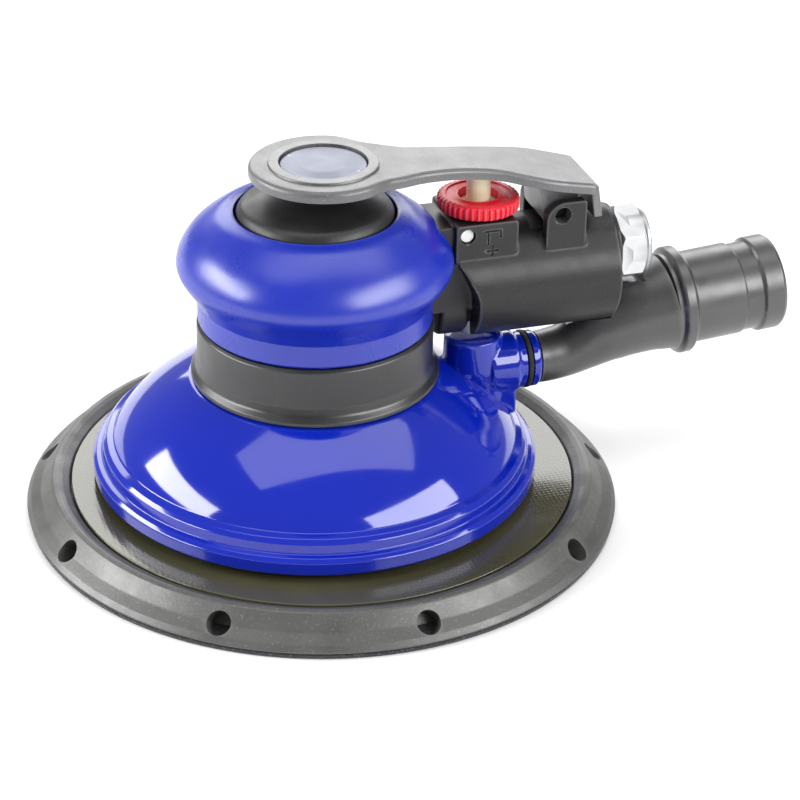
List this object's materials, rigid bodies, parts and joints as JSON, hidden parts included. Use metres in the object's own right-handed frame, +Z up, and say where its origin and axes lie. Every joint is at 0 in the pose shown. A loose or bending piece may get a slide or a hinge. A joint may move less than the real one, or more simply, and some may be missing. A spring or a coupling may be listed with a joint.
{
  "type": "orbital sander",
  "caption": "Palm-held air-driven random orbital sander with a round hook-faced pad, domed grip, throttle lever, speed wheel and vacuum hose tail.",
  "frame": {"origin": "where the motor axis meets the work surface, at the pad's facing", "axes": "+Z up along the motor axis, +X along the handle towards the hose tail, +Y to the left of the handle"},
  "size_m": [0.1981, 0.15, 0.0916],
  "materials": {
    "black_plastic": "satin black glass-filled nylon",
    "ring_plastic": "matte dark grey moulding",
    "lever_plastic": "grey, fine leather-like texture",
    "grip_rubber": "soft-touch blue, satin",
    "shroud_plastic": "high-gloss blue moulding",
    "red_plastic": "red, semi-gloss",
    "cream_plastic": "cream acetal",
    "white_plastic": "white dot",
    "aluminium": "bright machined",
    "badge_metal": "brushed silver foil",
    "steel": "ground steel",
    "black_rubber": "black nitrile",
    "foam_rubber": "dense grey polyurethane foam with a moulded skin",
    "glass_fibre": "dark olive woven glass-fibre laminate",
    "hook_fabric": "short hook pile",
    "vane_composite": "phenolic composite",
    "felt": "pressed felt"
  },
  "bodies": {
    "housing": {"motor_housing": "black_plastic", "palm_grip": "grip_rubber", "lock_ring": "ring_plastic", "shroud": "shroud_plastic", "port_o_ring": "black_rubber", "index_dot": "white_plastic", "lower_end_plate": "aluminium", "upper_end_plate": "aluminium", "cylinder_liner": "steel", "cylinder_pin": "steel", "wave_washer": "steel", "felt_seal": "felt", "lower_bearing_outer_race": "steel", "upper_bearing_outer_race": "steel", "inlet_bushing": "aluminium", "inlet_screen": "steel", "lever_pin": "steel", "hose_tail": "black_plastic", "ejector_nozzle": "aluminium", "exhaust_muffler": "felt", "valve_seat": "aluminium", "valve_spring": "steel", "valve_plug": "aluminium"},
    "rotor": {"shaft_balancer": "steel", "rotor": "steel", "rotor_key": "steel", "lower_bearing_inner_race": "steel", "lower_bearing_balls": "steel", "upper_bearing_inner_race": "steel", "upper_bearing_balls": "steel", "shaft_snap_ring": "steel", "spindle_bearing_outer_race": "steel", "spindle_bearing_balls": "steel", "spindle_retaining_ring": "steel"},
    "pad": {"hook_facing": "hook_fabric", "pad_foam": "foam_rubber", "pad_plate": "glass_fibre", "pad_stud": "steel", "pad_washer": "steel", "spindle": "steel", "spindle_bearing_inner_race": "steel"},
    "vane_1": {"vane_1": "vane_composite"},
    "vane_2": {"vane_2": "vane_composite"},
    "vane_3": {"vane_3": "vane_composite"},
    "vane_4": {"vane_4": "vane_composite"},
    "vane_5": {"vane_5": "vane_composite"},
    "lever": {"throttle_lever": "lever_plastic", "lever_badge": "badge_metal"},
    "valve_stem": {"valve_stem": "cream_plastic", "valve_disc": "black_rubber"},
    "speed_regulator": {"regulator_core": "aluminium", "regulator_wheel": "red_plastic", "stem_bush": "cream_plastic"}
  },
  "joints": [
    {"name": "motor_spin", "type": "hinge", "parent": "housing", "child": "rotor", "pos_m": [0, 0, 0], "axis": [0, 0, 1], "continuous": true},
    {"name": "pad_spin", "type": "hinge", "parent": "rotor", "child": "pad", "pos_m": [0.00136, -0.0021, 0], "axis": [0, 0, 1], "continuous": true},
    {"name": "vane_slide_1", "type": "slide", "parent": "rotor", "child": "vane_1", "axis": [1, 0, 0], "range_m": [0, 0.0003]},
    {"name": "vane_slide_2", "type": "slide", "parent": "rotor", "child": "vane_2", "axis": [0.309, 0.9511, 0], "range_m": [0, 0.0003]},
    {"name": "vane_slide_3", "type": "slide", "parent": "rotor", "child": "vane_3", "axis": [-0.809, 0.5878, 0], "range_m": [0, 0.0003]},
    {"name": "vane_slide_4", "type": "slide", "parent": "rotor", "child": "vane_4", "axis": [-0.809, -0.5878, 0], "range_m": [0, 0.0003]},
    {"name": "vane_slide_5", "type": "slide", "parent": "rotor", "child": "vane_5", "axis": [0.309, -0.9511, 0], "range_m": [0, 0.0003]},
    {"name": "lever_press", "type": "hinge", "parent": "housing", "child": "lever", "pos_m": [0.0607, 0, 0.0745], "axis": [0, -1, 0], "range_deg": [0, 3.6], "stiffness_Nm_per_rad": 3, "springref_deg": -3.44},
    {"name": "valve_travel", "type": "slide", "parent": "housing", "child": "valve_stem", "axis": [0, 0, -1], "range_m": [0, 0.0012], "deforming": ["valve_spring"]},
    {"name": "regulator_turn", "type": "hinge", "parent": "housing", "child": "speed_regulator", "pos_m": [0.0418, 0, 0.075], "axis": [0, 0, 1], "range_deg": [-45, 45]}
  ],
  "couplings": [
    {"joint": "valve_travel", "follows": "lever_press", "m_per_rad": 0.0189}
  ]
}
